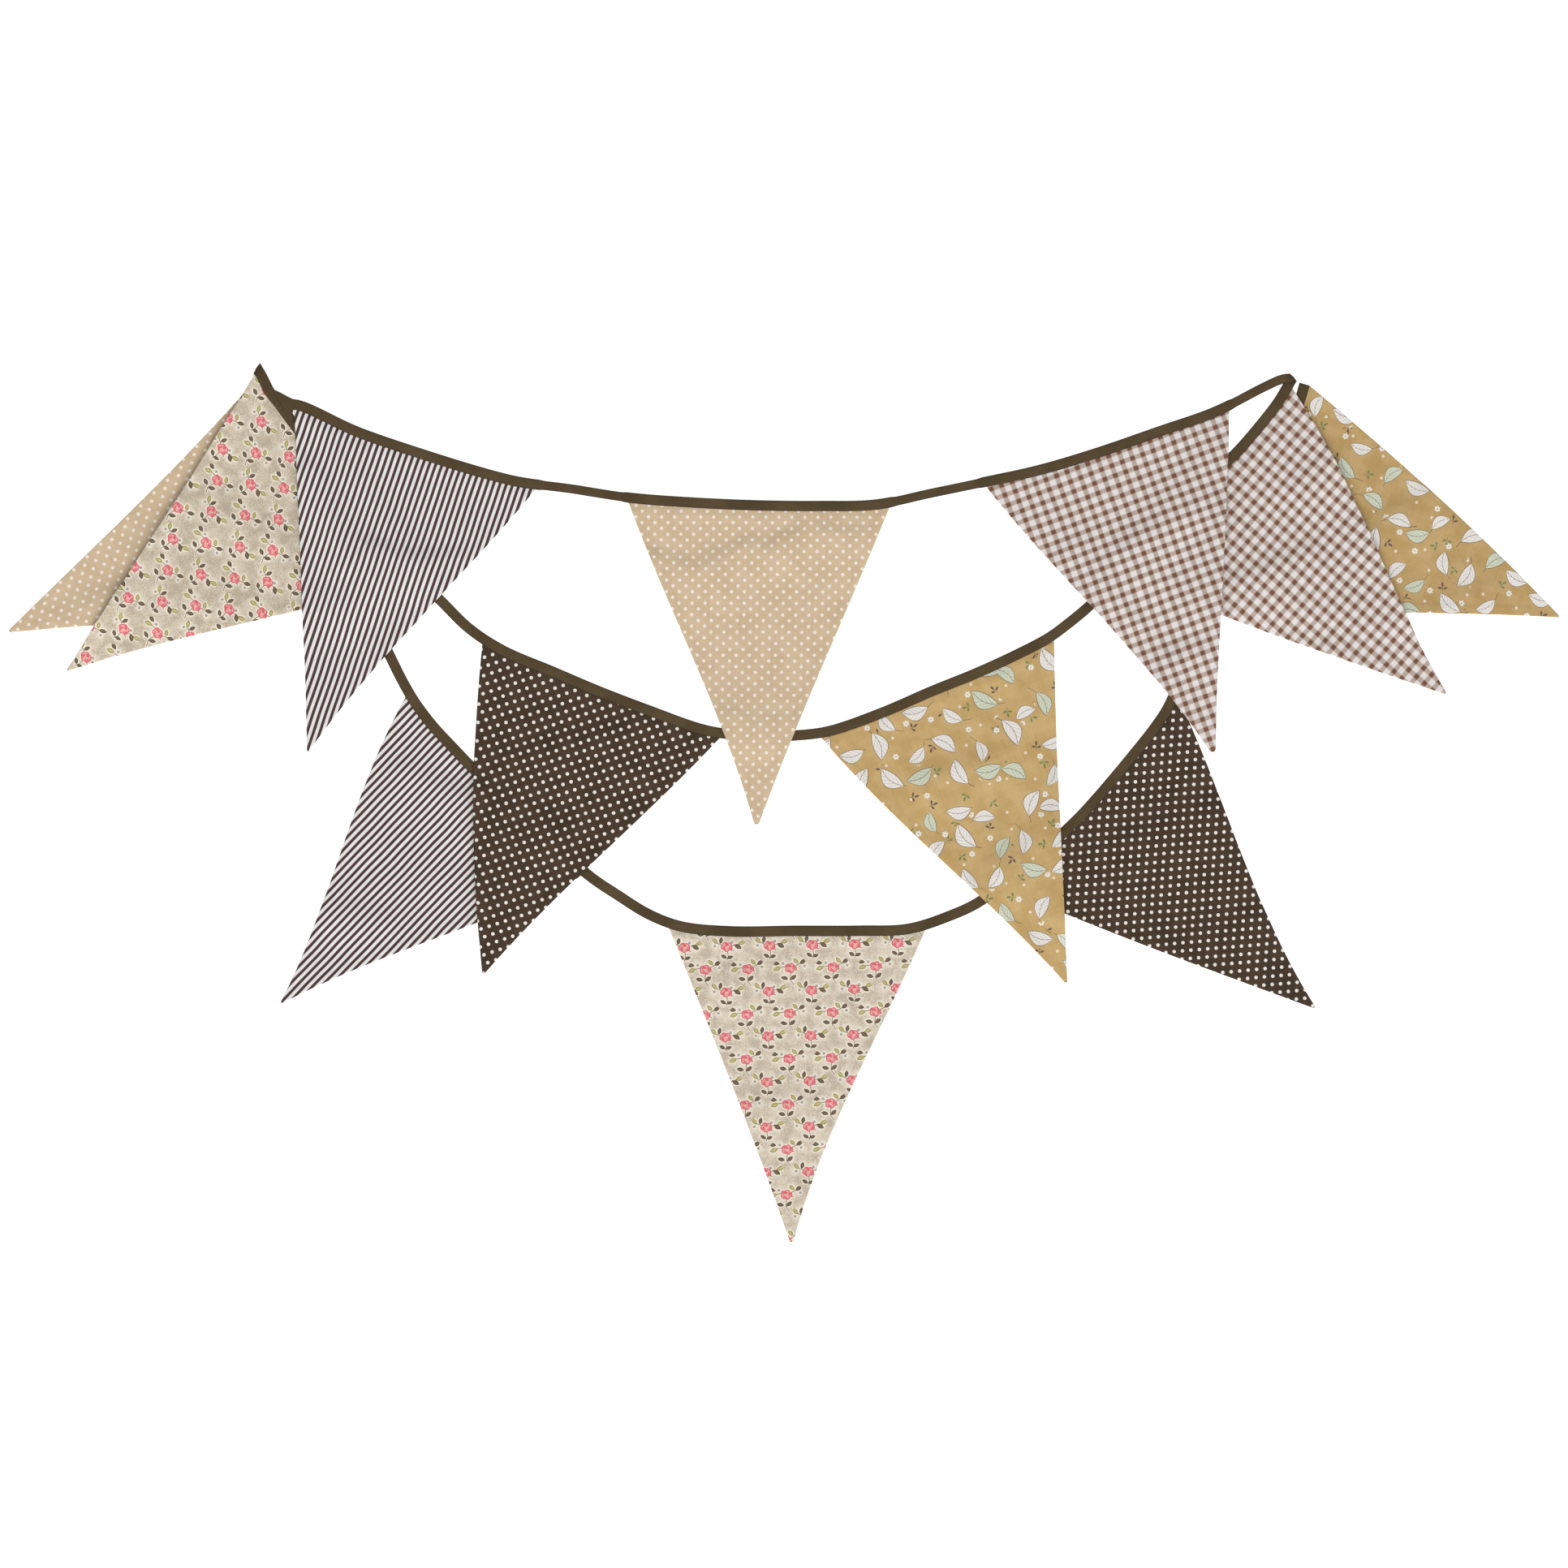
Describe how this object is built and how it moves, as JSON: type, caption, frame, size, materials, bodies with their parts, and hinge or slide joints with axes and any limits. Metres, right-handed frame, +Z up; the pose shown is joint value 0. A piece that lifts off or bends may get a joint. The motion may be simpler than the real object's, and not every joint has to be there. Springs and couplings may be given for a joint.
{
  "type": "fabric bunting",
  "caption": "String of three-cornered cotton print flags sewn into a dark folded tape, laid flat in three swags.",
  "frame": {"origin": "middle of the laid bunting's footprint, on the surface that it lies on", "axes": "+X along the swags to the right as seen from above, +Y from the flags' tips towards the tape, +Z up off the surface"},
  "size_m": [1.063, 0.6032, 0.0076],
  "materials": {
    "tape": "matt woven cotton bias tape, dark olive brown",
    "stripe_cotton": "matt printed cotton, fine plum-brown and off-white stripes",
    "tan_dot_cotton": "matt printed cotton, tan with small off-white dots",
    "gingham_cotton": "matt woven cotton check, brown and white",
    "brown_dot_cotton": "matt printed cotton, dark brown with off-white dots",
    "rose_cotton": "matt printed cotton, small pink roses and leaves on mottled taupe",
    "mustard_cotton": "matt printed cotton, mustard with small off-white leaf and sprig motifs"
  },
  "bodies": {
    "root": {"binding_tape": "tape", "stripe_flag_1": "stripe_cotton", "tan_dot_flag_1": "tan_dot_cotton", "gingham_flag_1": "gingham_cotton", "gingham_flag_2": "gingham_cotton", "mustard_flag_1": "mustard_cotton", "brown_dot_flag_1": "brown_dot_cotton", "rose_flag_1": "rose_cotton", "tan_dot_flag_2": "tan_dot_cotton", "stripe_flag_2": "stripe_cotton", "rose_flag_2": "rose_cotton", "brown_dot_flag_2": "brown_dot_cotton", "mustard_flag_2": "mustard_cotton"}
  },
  "joints": []
}
